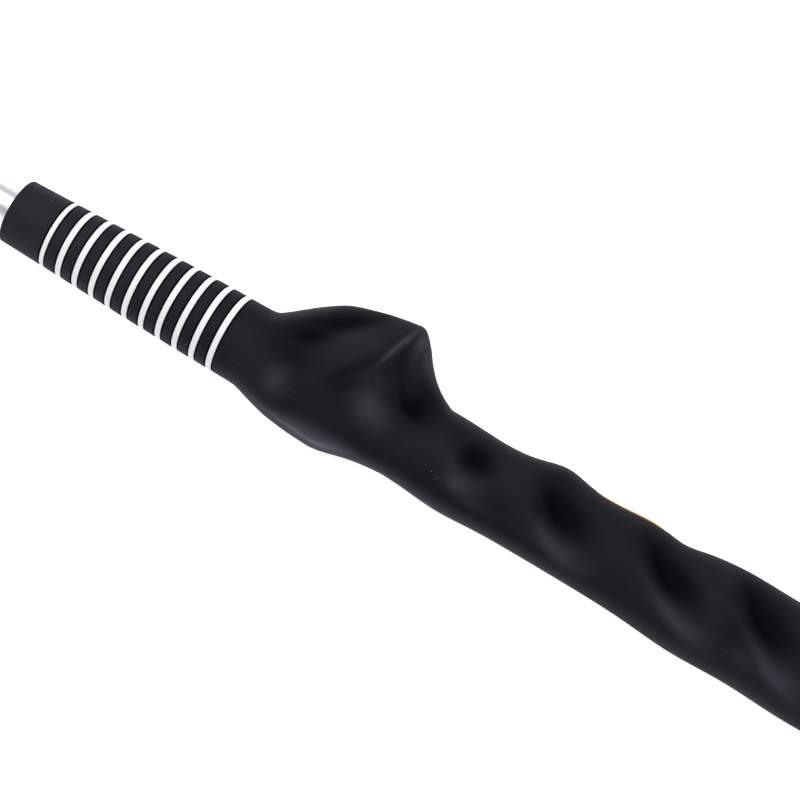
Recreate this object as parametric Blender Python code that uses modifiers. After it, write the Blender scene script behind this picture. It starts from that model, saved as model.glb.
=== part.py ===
"""Swing trainer stick: a moulded training grip and a weighted head on a steel shaft.

The stick lies along X, the butt of the grip at -X and the head at +X, and rests on Z = 0.
Each piece is modelled about the stick's own axis, with the butt face at zero, under one empty.
On the grip an angle of 0 degrees is the palm side, 90 the finger side, 180 the thumb flange
and 270 the thumb side.
"""

import math

import bmesh
import bpy

MM = 0.001

# Driving dimensions, in millimetres along the stick from the butt face
STICK_LENGTH = 620.0
GRIP_LENGTH = 272.0
SHAFT_RADIUS = 5.25
SHAFT_WALL = 1.0
HEAD_RADIUS = 17.5
HEAD_START = 527.0
GAP = 0.3

# How it lies: the flange points sideways and a little up
ROLL_DEGREES = -15.0
SIDES = 36
INNER_SIDES = 24
STEP_DEGREES = 360.0 / SIDES

# Butt cap
CAP_THICKNESS = 4.5
CAP_EDGE = 2.4
CAP_SPIGOT_END = 8.5
VENT_RADIUS = 1.5

# Grip bore, with a lip that closes on the shaft at the mouth
TAPE_THICKNESS = 0.3
LIP_START = 267.0
LIP_RADIUS = SHAFT_RADIUS + GAP
TAPE_RADIUS = SHAFT_RADIUS + GAP + TAPE_THICKNESS
BORE_RADIUS = TAPE_RADIUS + GAP
SHAFT_START = 9.0
SHAFT_END = 575.0

# White ring lines, counted from the mouth of the grip
RING_COUNT = 11
RING_FIRST = 257.5
RING_PITCH = 5.69
RING_WIDTH = 1.86
RING_DEPTH = 0.6
GROOVE_DEPTH = RING_DEPTH + GAP

# Bulb with the thumb flange
BULB_START = 194.6
FLANGE_CREST = 154.0
PALM_CREST = 166.0
FLANGE_RISE = 12.1
BELLY_RISE = 4.0
FLANGE_ANGLE = 180.0
FLANGE_HALF_ANGLE = 44.0
FLANGE_SHARPNESS = 1.4

# White chevron line on the thumb side
CHEVRON_APEX = 163.5
CHEVRON_LENGTH = 22.5
CHEVRON_ANGLE = 270.0
CHEVRON_HALF_ANGLE = 60.0
CHEVRON_WIDTH = 1.6
CHEVRON_BEND = 1.6

# Plain orange bar beside the flange line
MARK_CENTRE = 77.5
MARK_LENGTH = 21.0
MARK_FROM_ANGLE = 170.5
MARK_TO_ANGLE = 207.0
MARK_DEPTH = 0.5

# Weighted head
CORE_START = 530.0
CORE_END = 596.0
CORE_RADIUS = 13.5
CORE_BORE_END = 578.0
COUNTERBORE_START = 584.0
COUNTERBORE_RADIUS = 5.4
SLEEVE_OPENING = 9.5
SLEEVE_SHOULDER = 9.0
SLEEVE_END_EDGE = 5.5
FERRULE_LENGTH = 24.0
FERRULE_RADIUS = 7.6
SCREW_RADIUS = 2.5
SCREW_HEAD_RADIUS = 4.25
SCREW_HEAD_HEIGHT = 5.0
SCREW_TIP = 560.0
HEX_RADIUS = 2.3
HEX_DEPTH = 2.5
WASHER_THICKNESS = 1.3
WASHER_RADIUS = 4.8
INSERT_START = 553.0

# Round body of the grip without its forms: distance from the butt, radius
BODY_OUTLINE = ((0, 15.4), (30, 14.7), (60, 13.9), (85, 13.45), (110, 13.2), (140, 12.75),
                (194, 11.77), (206, 11.66), (272, 9.75))

# Rise of the bulb from its tip end to the crest line, and its fall behind the crest
RISE_OUTLINE = ((0.0, 0.0), (0.04, 0.003), (0.08, 0.02), (0.146, 0.125), (0.217, 0.268), (0.356, 0.53),
                (0.495, 0.738), (0.634, 0.85), (0.773, 0.932), (1.0, 1.0))
FALL_OUTLINE = ((0.0, 1.0), (0.1, 0.955), (0.26, 0.775), (0.42, 0.525), (0.6, 0.295), (0.8, 0.12), (1.0, 0.0))

# Swells (+) and hollows (-): distance, angle, height, half length, half angle, slant in mm per degree
FORMS = (
    (15.0, 0.0, 0.7, 14.0, 60.0, 0.0),
    (50.0, 0.0, 1.1, 14.0, 60.0, 0.0),
    (125.0, 0.0, 1.0, 11.0, 60.0, 0.0),
    (42.0, 180.0, 1.0, 12.0, 60.0, 0.0),
    (60.0, 180.0, -0.9, 6.0, 45.0, 0.0),
    (72.0, 180.0, 0.6, 7.0, 55.0, 0.0),
    (98.5, 180.0, 1.9, 7.5, 60.0, 0.0),
    (70.0, 180.0, -0.55, 60.0, 70.0, 0.0),
    (116.0, 180.0, -0.8, 11.0, 60.0, 0.0),
    (177.5, 135.0, -1.6, 6.5, 30.0, -0.28),
    (163.1, 108.0, -1.1, 3.0, 22.0, -0.23),
    (169.0, 126.0, 0.8, 4.5, 36.0, -0.27),
    (154.7, 158.0, 0.5, 0.9, 24.0, -0.09),
    (150.5, 152.0, -1.0, 3.2, 13.0, 0.25),
    (181.0, 72.0, 1.0, 4.5, 16.0, 0.0),
    (154.0, 101.0, 1.1, 5.0, 20.0, 0.2),
    (170.0, 44.0, 0.7, 14.0, 18.0, 0.0),
    (170.0, 19.0, -1.0, 15.0, 15.0, 0.0),
    (173.0, 232.0, -1.3, 9.0, 26.0, 0.0),
    (166.0, 285.0, 0.76, 14.0, 40.0, 0.0),
    (95.0, 268.0, -1.3, 30.0, 24.0, 0.0),
)

# Finger dents and the trigger scoop: distance, angle, depth, reach to the butt and to the tip,
# reach in degrees to the palm and to the flange, slant in mm per degree
DENTS = (
    (31.0, 114.0, 3.6, 10.0, 6.5, 34.0, 34.0, 0.22),
    (59.0, 104.0, 3.7, 9.5, 6.5, 30.0, 34.0, 0.22),
    (93.0, 106.0, 3.7, 10.0, 6.5, 32.0, 30.0, 0.12),
    (120.5, 112.0, 2.2, 6.5, 5.0, 28.0, 22.0, 0.0),
    (144.5, 134.0, 4.0, 6.5, 5.5, 24.0, 22.0, 0.17),
)


def bell(distance, reach, power=2.0):
    """One at zero distance, falling smoothly away."""
    return math.exp(-abs(distance / reach) ** power)


def turn_between(angle, other):
    """Signed angle from other to angle, in degrees."""
    return (angle - other + 180.0) % 360.0 - 180.0


def outline_slopes(points):
    """Slope at each point of an outline, such that the curve never overshoots."""
    slopes = []
    last = len(points) - 1
    for i in range(len(points)):
        before = points[max(i - 1, 0)]
        after = points[min(i + 1, last)]
        middle = points[i]
        if i == 0 or i == last:
            slopes.append((after[1] - before[1]) / (after[0] - before[0]))
            continue
        slope_in = (middle[1] - before[1]) / (middle[0] - before[0])
        slope_out = (after[1] - middle[1]) / (after[0] - middle[0])
        if slope_in * slope_out <= 0.0:
            slopes.append(0.0)
        else:
            slopes.append(2.0 * slope_in * slope_out / (slope_in + slope_out))
    return slopes


def outline_at(points, position):
    """Height of a smooth curve through the outline's points."""
    position = min(max(position, points[0][0]), points[-1][0])
    slopes = outline_slopes(points)
    index = 0
    while index < len(points) - 2 and position > points[index + 1][0]:
        index += 1
    start, end = points[index], points[index + 1]
    span = end[0] - start[0]
    t = (position - start[0]) / span
    height = (1.0 + 2.0 * t) * (1.0 - t) ** 2 * start[1]
    height += t * t * (3.0 - 2.0 * t) * end[1]
    height += t * (1.0 - t) ** 2 * span * slopes[index]
    height += t * t * (t - 1.0) * span * slopes[index + 1]
    return height


def bulb_rise(distance, angle):
    """Height of the bulb and its thumb flange over the round body."""
    beta = abs(turn_between(angle, FLANGE_ANGLE))
    near_flange = bell(beta, 60.0)
    crest = PALM_CREST + (FLANGE_CREST - PALM_CREST) * near_flange
    if distance > crest:
        share = outline_at(RISE_OUTLINE, (BULB_START - distance) / (BULB_START - crest))
    else:
        share = outline_at(FALL_OUTLINE, (crest - distance) / (23.0 - 4.0 * near_flange))
    return share * (BELLY_RISE + FLANGE_RISE * bell(beta, FLANGE_HALF_ANGLE, FLANGE_SHARPNESS))


def grip_radius(distance, angle):
    """Distance of the grip's surface from the axis."""
    radius = outline_at(BODY_OUTLINE, distance) + bulb_rise(distance, angle)
    for centre, direction, height, half_length, half_angle, slant in FORMS:
        turn = turn_between(angle, direction)
        radius += height * bell(distance - centre - slant * turn, half_length) * bell(turn, half_angle)
    for centre, direction, depth, to_butt, to_tip, to_palm, to_flange, slant in DENTS:
        turn = turn_between(angle, direction)
        offset = distance - centre - slant * turn
        along = bell(offset, to_butt if offset < 0.0 else to_tip)
        around = bell(turn, to_palm if turn < 0.0 else to_flange)
        radius -= depth * along * around
    return radius


def point(distance, radius, angle):
    """Place on the stick, in metres about its own axis."""
    turned = math.radians(angle)
    return (distance * MM, radius * MM * math.cos(turned), radius * MM * math.sin(turned))


def material(name, colour, roughness, metallic=0.0):
    finish = bpy.data.materials.new(name)
    finish.use_nodes = True
    shader = finish.node_tree.nodes["Principled BSDF"]
    shader.inputs["Base Color"].default_value = (*colour, 1.0)
    shader.inputs["Roughness"].default_value = roughness
    shader.inputs["Metallic"].default_value = metallic
    finish.diffuse_color = (*colour, 1.0)
    return finish


def make_object(name, mesh, finish, collection, parent):
    piece = bpy.data.objects.new(name, mesh)
    collection.objects.link(piece)
    piece.parent = parent
    if finish is not None:
        mesh.materials.append(finish)
        mesh.shade_smooth()
        mesh.set_sharp_from_angle(angle=math.radians(35.0))
    return piece


def turned_piece(name, outline, sides, finish, collection, parent):
    """Turned solid: the outline is (distance, radius) points around the section, in millimetres.

    It starts on the outer side at the head end and runs toward the butt.
    """
    mesh = bpy.data.meshes.new(name)
    profile = bmesh.new()
    corners = [profile.verts.new((radius * MM, 0.0, distance * MM)) for distance, radius in outline]
    for i in range(len(corners)):
        if outline[i][1] == 0.0 and outline[(i + 1) % len(corners)][1] == 0.0:
            continue
        profile.edges.new((corners[i], corners[(i + 1) % len(corners)]))
    profile.to_mesh(mesh)
    profile.free()
    piece = make_object(name, mesh, None, collection, parent)
    piece.rotation_euler = (0.0, math.pi / 2, 0.0)
    screw = piece.modifiers.new("Turn", "SCREW")
    screw.steps = sides
    screw.render_steps = sides
    screw.use_merge_vertices = True
    screw.merge_threshold = 0.00001
    screw.use_smooth_shade = True
    mesh.materials.append(finish)
    return piece


def lofted_piece(name, stations, finish, collection, parent):
    """Closed ring-shaped solid: each station is a loop of SIDES points, the last joins the first."""
    mesh = bpy.data.meshes.new(name)
    loft = bmesh.new()
    loops = [[loft.verts.new(place) for place in station] for station in stations]
    for i in range(len(loops)):
        loop, following = loops[i], loops[(i + 1) % len(loops)]
        for j in range(SIDES):
            k = (j + 1) % SIDES
            loft.faces.new((loop[j], loop[k], following[k], following[j]))
    bmesh.ops.recalc_face_normals(loft, faces=loft.faces)
    loft.to_mesh(mesh)
    loft.free()
    return make_object(name, mesh, finish, collection, parent)


def loop_angles():
    return [FLANGE_ANGLE + STEP_DEGREES * i for i in range(SIDES)]


def grip_loop(distance, inset=0.0):
    """Loop on the grip's surface, or that far under it."""
    return [point(distance, grip_radius(distance, angle) - inset, angle) for angle in loop_angles()]


def round_loop(distance, radius):
    return [point(distance, radius, angle) for angle in loop_angles()]


def ring_centres():
    return [RING_FIRST - RING_PITCH * i for i in range(RING_COUNT)]


def sculpted_stations():
    """Distances of the loops from behind the cap to the foot of the ring section."""
    stations = [CAP_THICKNESS + GAP]
    stations += [9.0 + 4.0 * i for i in range(33)]
    stations += [139.0 + 3.0 * i for i in range(18)]
    stations.append(195.0)
    return stations


def grip_body(finish, collection, parent):
    loops = [round_loop(CAP_THICKNESS + GAP, BORE_RADIUS)]
    loops += [grip_loop(distance) for distance in sculpted_stations()]
    half_groove = RING_WIDTH / 2 + GAP
    for centre in reversed(ring_centres()):
        for distance, inset in ((centre - half_groove, 0.0), (centre - half_groove, GROOVE_DEPTH),
                                (centre + half_groove, GROOVE_DEPTH), (centre + half_groove, 0.0)):
            loops.append(grip_loop(distance, inset))
    loops.append(grip_loop(GRIP_LENGTH - 0.8))
    loops.append(grip_loop(GRIP_LENGTH, 0.8))
    loops.append(round_loop(GRIP_LENGTH, LIP_RADIUS))
    loops.append(round_loop(LIP_START, LIP_RADIUS))
    loops.append(round_loop(LIP_START, BORE_RADIUS))
    return lofted_piece("grip_body", loops, finish, collection, parent)


def ring_lines(finish, collection, parent):
    half_width = RING_WIDTH / 2
    for number, centre in enumerate(ring_centres(), start=1):
        loops = [grip_loop(centre - half_width, RING_DEPTH), grip_loop(centre - half_width),
                 grip_loop(centre + half_width), grip_loop(centre + half_width, RING_DEPTH)]
        lofted_piece(f"ring_line_{number:02d}", loops, finish, collection, parent)


def butt_cap(finish, collection, parent):
    loops = [
        grip_loop(CAP_THICKNESS),
        grip_loop(CAP_EDGE),
        grip_loop(CAP_EDGE * 0.3, CAP_EDGE * 0.3),
        grip_loop(0.0, CAP_EDGE),
        round_loop(0.0, VENT_RADIUS),
        round_loop(CAP_SPIGOT_END, VENT_RADIUS),
        round_loop(CAP_SPIGOT_END, TAPE_RADIUS),
        round_loop(CAP_THICKNESS, TAPE_RADIUS),
    ]
    return lofted_piece("butt_cap", loops, finish, collection, parent)


def surface_strip(name, edges, inner, outer, finish, collection, parent):
    """Strip that follows the grip's surface between two offsets from it.

    Each entry of edges is one cross line of (distance, angle) points.
    """
    mesh = bpy.data.meshes.new(name)
    strip = bmesh.new()
    tops = []
    floors = []
    for line in edges:
        tops.append([strip.verts.new(point(x, grip_radius(x, a) + outer, a)) for x, a in line])
        floors.append([strip.verts.new(point(x, grip_radius(x, a) + inner, a)) for x, a in line])
    across = len(edges[0]) - 1
    for i in range(len(edges) - 1):
        for j in range(across):
            strip.faces.new((tops[i][j], tops[i][j + 1], tops[i + 1][j + 1], tops[i + 1][j]))
            strip.faces.new((floors[i][j], floors[i + 1][j], floors[i + 1][j + 1], floors[i][j + 1]))
        for j in (0, across):
            strip.faces.new((tops[i][j], tops[i + 1][j], floors[i + 1][j], floors[i][j]))
    for i in (0, len(edges) - 1):
        for j in range(across):
            strip.faces.new((tops[i][j], floors[i][j], floors[i][j + 1], tops[i][j + 1]))
    bmesh.ops.recalc_face_normals(strip, faces=strip.faces)
    strip.to_mesh(mesh)
    strip.free()
    return make_object(name, mesh, finish, collection, parent)


def chevron_edges(width, overrun):
    """Cross lines of the chevron, which runs from one flank over its apex to the other."""
    lines = []
    steps = 20
    fullness = 1.0 - math.exp(-CHEVRON_BEND)
    arc = math.radians(CHEVRON_HALF_ANGLE) * outline_at(BODY_OUTLINE, CHEVRON_APEX)
    reach = 1.0 + overrun / arc
    for i in range(steps + 1):
        share = reach * (2.0 * i / steps - 1.0)
        along = (1.0 - math.exp(-CHEVRON_BEND * abs(share))) / fullness
        slope = CHEVRON_LENGTH * CHEVRON_BEND * math.exp(-CHEVRON_BEND * abs(share)) / fullness / arc
        half = width / 2 * math.hypot(1.0, slope)
        centre = CHEVRON_APEX + CHEVRON_LENGTH * along
        angle = CHEVRON_ANGLE + CHEVRON_HALF_ANGLE * share
        lines.append([(centre - half, angle), (centre + half, angle)])
    return lines


def mark_edges(overrun):
    """Cross lines of the plain bar, around the grip."""
    lines = []
    steps = 6
    extra = math.degrees(overrun / outline_at(BODY_OUTLINE, MARK_CENTRE))
    half = MARK_LENGTH / 2 + overrun
    for i in range(steps + 1):
        share = i / steps
        angle = MARK_FROM_ANGLE - extra + (MARK_TO_ANGLE - MARK_FROM_ANGLE + 2.0 * extra) * share
        lines.append([(MARK_CENTRE - half + half * j / 2, angle) for j in range(5)])
    return lines


def cut(piece, cutter):
    """Subtract the cutter, which stays as a hidden guide."""
    cutter.hide_render = True
    cutter.display_type = "WIRE"
    boolean = piece.modifiers.new("Cut " + cutter.name, "BOOLEAN")
    boolean.operation = "DIFFERENCE"
    boolean.solver = "EXACT"
    boolean.object = cutter


def surface_marks(body, white, orange, parts, cutters, parent):
    """Chevron and bar, each in a recess of the grip with a gap all round."""
    proud = 1.5
    chevron_recess = surface_strip("chevron_recess", chevron_edges(CHEVRON_WIDTH + 2 * GAP, GAP),
                                   -RING_DEPTH - GAP, proud, None, cutters, parent)
    cut(body, chevron_recess)
    surface_strip("chevron_mark", chevron_edges(CHEVRON_WIDTH, 0.0), -RING_DEPTH, 0.0,
                  white, parts, parent)
    mark_recess = surface_strip("mark_recess", mark_edges(GAP), -MARK_DEPTH - GAP, proud,
                                None, cutters, parent)
    cut(body, mark_recess)
    surface_strip("side_mark", mark_edges(0.0), -MARK_DEPTH, 0.0, orange, parts, parent)


def shaft_and_tape(steel, tape, collection, parent):
    bore = SHAFT_RADIUS - SHAFT_WALL
    turned_piece("shaft", ((SHAFT_END, SHAFT_RADIUS), (SHAFT_START, SHAFT_RADIUS),
                           (SHAFT_START, bore), (SHAFT_END, bore)), SIDES, steel, collection, parent)
    inner = SHAFT_RADIUS + GAP
    tape_end = LIP_START - GAP
    turned_piece("grip_tape", ((tape_end, TAPE_RADIUS), (SHAFT_START, TAPE_RADIUS),
                               (SHAFT_START, inner), (tape_end, inner)), INNER_SIDES, tape, collection, parent)


def ferrule(finish, collection, parent):
    end = HEAD_START - GAP
    start = end - FERRULE_LENGTH
    inner = SHAFT_RADIUS + GAP
    outline = [(end, inner), (end, FERRULE_RADIUS - 0.4), (end - 0.4, FERRULE_RADIUS)]
    for i in range(1, 5):
        share = i / 4
        swell = math.cos(share * math.pi / 2) ** 0.8
        radius = inner + 0.4 + (FERRULE_RADIUS - inner - 0.4) * swell
        outline.append((end - 0.4 - (FERRULE_LENGTH - 0.4) * share, radius))
    outline.append((start, inner))
    turned_piece("ferrule", outline, SIDES, finish, collection, parent)


def arc_points(centre_distance, centre_radius, half_length, half_height, from_degrees, to_degrees, steps):
    """Points of an elliptic corner in the section of a turned piece."""
    points = []
    for i in range(steps + 1):
        angle = math.radians(from_degrees + (to_degrees - from_degrees) * i / steps)
        points.append((centre_distance + half_length * math.cos(angle),
                       centre_radius + half_height * math.sin(angle)))
    return points


def head_sleeve(finish, collection, parent):
    inner = SHAFT_RADIUS + GAP
    cavity = CORE_RADIUS + GAP
    end_corner = arc_points(STICK_LENGTH - SLEEVE_END_EDGE, HEAD_RADIUS - SLEEVE_END_EDGE,
                            SLEEVE_END_EDGE, SLEEVE_END_EDGE, 0.0, 90.0, 4)
    shoulder = arc_points(HEAD_START + SLEEVE_SHOULDER, HEAD_RADIUS - SLEEVE_SHOULDER,
                          SLEEVE_SHOULDER, SLEEVE_SHOULDER, 90.0, 180.0, 4)
    outline = end_corner + shoulder
    outline += [
        (HEAD_START, inner),
        (CORE_START - GAP, inner),
        (CORE_START - GAP, cavity),
        (CORE_END + GAP, cavity),
        (CORE_END + GAP, SLEEVE_OPENING),
        (STICK_LENGTH, SLEEVE_OPENING),
    ]
    turned_piece("head_sleeve", outline, SIDES, finish, collection, parent)


def head_core(finish, collection, parent):
    bore = SHAFT_RADIUS + GAP
    screw_hole = SCREW_RADIUS + GAP
    outline = (
        (CORE_END, CORE_RADIUS - 1.0),
        (CORE_END - 1.0, CORE_RADIUS),
        (CORE_START + 1.0, CORE_RADIUS),
        (CORE_START, CORE_RADIUS - 1.0),
        (CORE_START, bore),
        (CORE_BORE_END, bore),
        (CORE_BORE_END, screw_hole),
        (COUNTERBORE_START, screw_hole),
        (COUNTERBORE_START, COUNTERBORE_RADIUS),
        (CORE_END, COUNTERBORE_RADIUS),
    )
    turned_piece("head_core", outline, INNER_SIDES, finish, collection, parent)


def head_fasteners(steel, zinc, collection, parts_cutters, parent):
    insert_radius = SHAFT_RADIUS - SHAFT_WALL - GAP
    screw_hole = SCREW_RADIUS + GAP
    turned_piece("tip_insert", ((SHAFT_END, insert_radius), (INSERT_START, insert_radius),
                                (INSERT_START, screw_hole), (SHAFT_END, screw_hole)),
                 INNER_SIDES, steel, collection, parent)
    washer_start = COUNTERBORE_START + GAP
    washer_end = washer_start + WASHER_THICKNESS
    turned_piece("lock_washer", ((washer_end, WASHER_RADIUS), (washer_start, WASHER_RADIUS),
                                 (washer_start, screw_hole), (washer_end, screw_hole)),
                 INNER_SIDES, zinc, collection, parent)
    head_start = washer_end + GAP
    head_end = head_start + SCREW_HEAD_HEIGHT
    screw = turned_piece("head_screw", (
        (head_end, 0.0),
        (head_end, SCREW_HEAD_RADIUS - 0.5),
        (head_end - 0.5, SCREW_HEAD_RADIUS),
        (head_start, SCREW_HEAD_RADIUS),
        (head_start, SCREW_RADIUS),
        (SCREW_TIP + 0.6, SCREW_RADIUS),
        (SCREW_TIP, SCREW_RADIUS - 0.6),
        (SCREW_TIP, 0.0),
    ), INNER_SIDES, zinc, collection, parent)
    bpy.ops.mesh.primitive_cylinder_add(vertices=6, radius=HEX_RADIUS * MM, depth=2 * HEX_DEPTH * MM)
    hex_key = bpy.context.object
    hex_key.name = "hex_socket"
    for owner in list(hex_key.users_collection):
        owner.objects.unlink(hex_key)
    parts_cutters.objects.link(hex_key)
    hex_key.parent = parent
    hex_key.location = (head_end * MM, 0.0, 0.0)
    hex_key.rotation_euler = (0.0, math.pi / 2, 0.0)
    cut(screw, hex_key)


def head_end_plug(finish, collection, parent):
    radius = SLEEVE_OPENING - GAP
    start = CORE_END + 2 * GAP
    end = STICK_LENGTH - 0.8
    outline = [(end, 0.0)] + arc_points(end - 1.5, radius - 1.5, 1.5, 1.5, 0.0, 90.0, 3)
    outline += [(start, radius), (start, 0.0)]
    turned_piece("head_end_plug", outline, INNER_SIDES, finish, collection, parent)


def main():
    for old in list(bpy.data.objects):
        bpy.data.objects.remove(old, do_unlink=True)
    parts = bpy.data.collections.new("swing_trainer_stick")
    cutters = bpy.data.collections.new("cutters")
    bpy.context.scene.collection.children.link(parts)
    bpy.context.scene.collection.children.link(cutters)

    axis = bpy.data.objects.new("stick_axis", None)
    parts.objects.link(axis)
    half_step = math.radians(STEP_DEGREES / 2)
    flange_reach = grip_radius(FLANGE_CREST, FLANGE_ANGLE) * math.cos(math.radians(ROLL_DEGREES))
    head_reach = HEAD_RADIUS * math.cos(half_step)
    axis.location = (-STICK_LENGTH / 2 * MM, (flange_reach - head_reach) / 2 * MM, head_reach * MM)
    axis.rotation_euler = (math.radians(ROLL_DEGREES), 0.0, 0.0)

    rubber = material("black_rubber", (0.012, 0.012, 0.014), 0.5)
    cap_rubber = material("cap_rubber", (0.014, 0.014, 0.016), 0.42)
    white = material("white_filling", (0.86, 0.86, 0.83), 0.45)
    orange = material("orange_filling", (0.95, 0.42, 0.03), 0.45)
    bright_steel = material("bright_steel", (0.72, 0.72, 0.76), 0.2, 1.0)
    tape = material("tape", (0.55, 0.47, 0.33), 0.8)
    gloss_black = material("gloss_black", (0.01, 0.01, 0.01), 0.2)
    dark_steel = material("dark_steel", (0.3, 0.3, 0.31), 0.45, 1.0)
    zinc = material("zinc_plate", (0.6, 0.61, 0.62), 0.35, 1.0)

    body = grip_body(rubber, parts, axis)
    ring_lines(white, parts, axis)
    surface_marks(body, white, orange, parts, cutters, axis)
    butt_cap(cap_rubber, parts, axis)
    shaft_and_tape(bright_steel, tape, parts, axis)
    ferrule(gloss_black, parts, axis)
    head_sleeve(rubber, parts, axis)
    head_core(dark_steel, parts, axis)
    head_fasteners(dark_steel, zinc, parts, cutters, axis)
    head_end_plug(cap_rubber, parts, axis)


main()
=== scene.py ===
"""Looks of the swing trainer stick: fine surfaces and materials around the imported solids.

Lengths along the stick are in millimetres from the butt face, and angles on the grip in degrees:
0 is the palm side, 90 the finger side, 180 the thumb flange and 270 the thumb side.
"""
import math

import bmesh
import bpy
import numpy as np
from mathutils import Matrix, Vector


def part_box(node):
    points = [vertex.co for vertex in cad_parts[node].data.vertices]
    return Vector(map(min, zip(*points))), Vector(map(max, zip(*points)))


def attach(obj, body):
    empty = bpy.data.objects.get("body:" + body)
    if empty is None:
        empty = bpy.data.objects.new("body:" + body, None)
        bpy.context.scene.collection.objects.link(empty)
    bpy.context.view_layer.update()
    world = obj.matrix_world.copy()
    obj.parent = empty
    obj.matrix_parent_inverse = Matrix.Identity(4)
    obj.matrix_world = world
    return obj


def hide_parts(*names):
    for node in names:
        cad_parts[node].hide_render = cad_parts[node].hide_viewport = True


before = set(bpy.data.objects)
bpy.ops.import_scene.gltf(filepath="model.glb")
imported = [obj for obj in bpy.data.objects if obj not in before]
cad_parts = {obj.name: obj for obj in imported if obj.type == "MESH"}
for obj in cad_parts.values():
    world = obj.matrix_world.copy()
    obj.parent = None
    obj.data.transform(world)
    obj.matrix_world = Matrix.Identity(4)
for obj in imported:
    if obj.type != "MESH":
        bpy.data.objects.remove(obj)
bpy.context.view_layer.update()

MM = 0.001

# The stick's axis, read from the frame: the shaft is round, so its box is centred on the axis
SHAFT_LOW, SHAFT_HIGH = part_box("shaft")
AXIS_Y = (SHAFT_LOW.y + SHAFT_HIGH.y) / 2
AXIS_Z = (SHAFT_LOW.z + SHAFT_HIGH.z) / 2
BUTT_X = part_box("butt_cap")[0].x

# Turn of the grip's palm side from +Y, about the stick
ROLL = math.radians(-15.0)

# Radii and lengths that the boxes don't give, in millimetres
SHAFT_RADIUS = 5.25
SHAFT_WALL = 1.0
HEAD_RADIUS = 17.5
HEAD_SHAFT_ROUNDING = 8.9
HEAD_FAR_ROUNDING = 5.4
SLEEVE_OPENING = 9.5
SLEEVE_BORE = 5.55
CORE_CAVITY = 13.8
CORE_CAVITY_START = 529.7
CORE_CAVITY_END = 596.3
BORE_RADIUS = 6.15
CAP_THICKNESS = 4.5
CAP_GAP = 0.12
CAP_SPIGOT_END = 8.5
CAP_SPIGOT_RADIUS = 5.85
CAP_EDGE = 2.4
VENT_RADIUS = 1.5

# Mouth of the grip: rounding of its lip, gap to the shaft, length of the close fit
MOUTH_LIP = 0.28
MOUTH_GAP = 0.1
MOUTH_FIT = 4.0

# Ferrule: its radius, and how far from its thick end the trim lines lie and the taper starts
FERRULE_RADIUS = 7.6
FERRULE_TRIM_LINES = (2.2, 4.0)
FERRULE_TAPER_START = 5.0

# Grooves of the head's sleeve, the first of each set counted from its end of the sleeve
HEAD_GROOVES = 3
HEAD_GROOVE_PITCH = 3.4
HEAD_GROOVE_HALF_WIDTH = 0.8
HEAD_GROOVE_DEPTH = 0.6
HEAD_GROOVE_FROM_SHAFT_END = 15.0
HEAD_GROOVE_FROM_FAR_END = 12.0

# Two round grooves in the cap's face: share of the face's radius, depth
CAP_FACE_GROOVES = ((0.86, 0.0), (0.84, 0.25), (0.81, 0.35), (0.78, 0.25), (0.76, 0.0),
                    (0.5, 0.0), (0.48, 0.2), (0.46, 0.3), (0.44, 0.2), (0.42, 0.0))

# Sides of the grip skin, its bands and its cap
SKIN_SIDES = 216
SKIN_ANGLES = np.arange(SKIN_SIDES) * 360.0 / SKIN_SIDES

# White ring lines
RING_COUNT = 11
RING_FIRST = 257.5
RING_PITCH = 5.69
RING_WIDTH = 1.86
RING_FIRST_WIDTH = 1.5
RING_DEPTH = 0.6
RING_GAP = 0.32
RING_WAVE = 0.03

# Chevron, drawn on the grip's surface unrolled at its sheet radius. Its arms bend towards the apex
# as an exponential does, whose fullness is the value it reaches at their ends.
CHEVRON_APEX = 163.5
CHEVRON_LENGTH = 22.5
CHEVRON_ANGLE = 270.0
CHEVRON_HALF_ANGLE = 60.0
CHEVRON_WIDTH = 1.6
CHEVRON_DEPTH = 0.5
CHEVRON_BEND = 1.6
CHEVRON_FULLNESS = 1.0 - math.exp(-CHEVRON_BEND)
CHEVRON_SHEET_RADIUS = 16.0

# Side mark, a bar with rounded corners, also drawn on an unrolled surface
MARK_CENTRE = 77.5
MARK_LENGTH = 21.0
MARK_FROM_ANGLE = 170.5
MARK_TO_ANGLE = 207.0
MARK_CORNER = 2.0
MARK_DEPTH = 0.4
MARK_SHEET_RADIUS = 13.4
MARK_MIDDLE_ANGLE = (MARK_FROM_ANGLE + MARK_TO_ANGLE) / 2
MARK_HALF_WIDTH = math.radians(MARK_TO_ANGLE - MARK_FROM_ANGLE) / 2 * MARK_SHEET_RADIUS

# Room under the chevron and the side mark in their recesses
RECESS_GAP = 0.05

# Bulb and thumb flange, whose crest line and fall differ between the palm side and the flange
BULB_START = 194.6
PALM_CREST = 166.0
FLANGE_CREST = 154.0
PALM_FALL = 23.0
FLANGE_FALL = 19.0
CREST_BEND_ANGLE = 60.0
FLANGE_RISE = 12.1
BELLY_RISE = 4.0
FLANGE_ANGLE = 180.0
FLANGE_HALF_ANGLE = 44.0
FLANGE_SHARPNESS = 1.4

# Round body of the grip without its forms: distance from the butt, radius
BODY_OUTLINE = ((0, 15.4), (30, 14.7), (60, 13.9), (85, 13.45), (110, 13.2), (140, 12.75), (194, 11.77),
                (206, 11.66), (272, 9.75))

# Rise of the bulb from its tip end to the crest line, and its fall behind the crest
RISE_OUTLINE = ((0.0, 0.0), (0.04, 0.003), (0.08, 0.02), (0.146, 0.125), (0.217, 0.268), (0.356, 0.53),
                (0.495, 0.738), (0.634, 0.85), (0.773, 0.932), (1.0, 1.0))
FALL_OUTLINE = ((0.0, 1.0), (0.1, 0.955), (0.26, 0.775), (0.42, 0.525), (0.6, 0.295), (0.8, 0.12),
                (1.0, 0.0))

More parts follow.
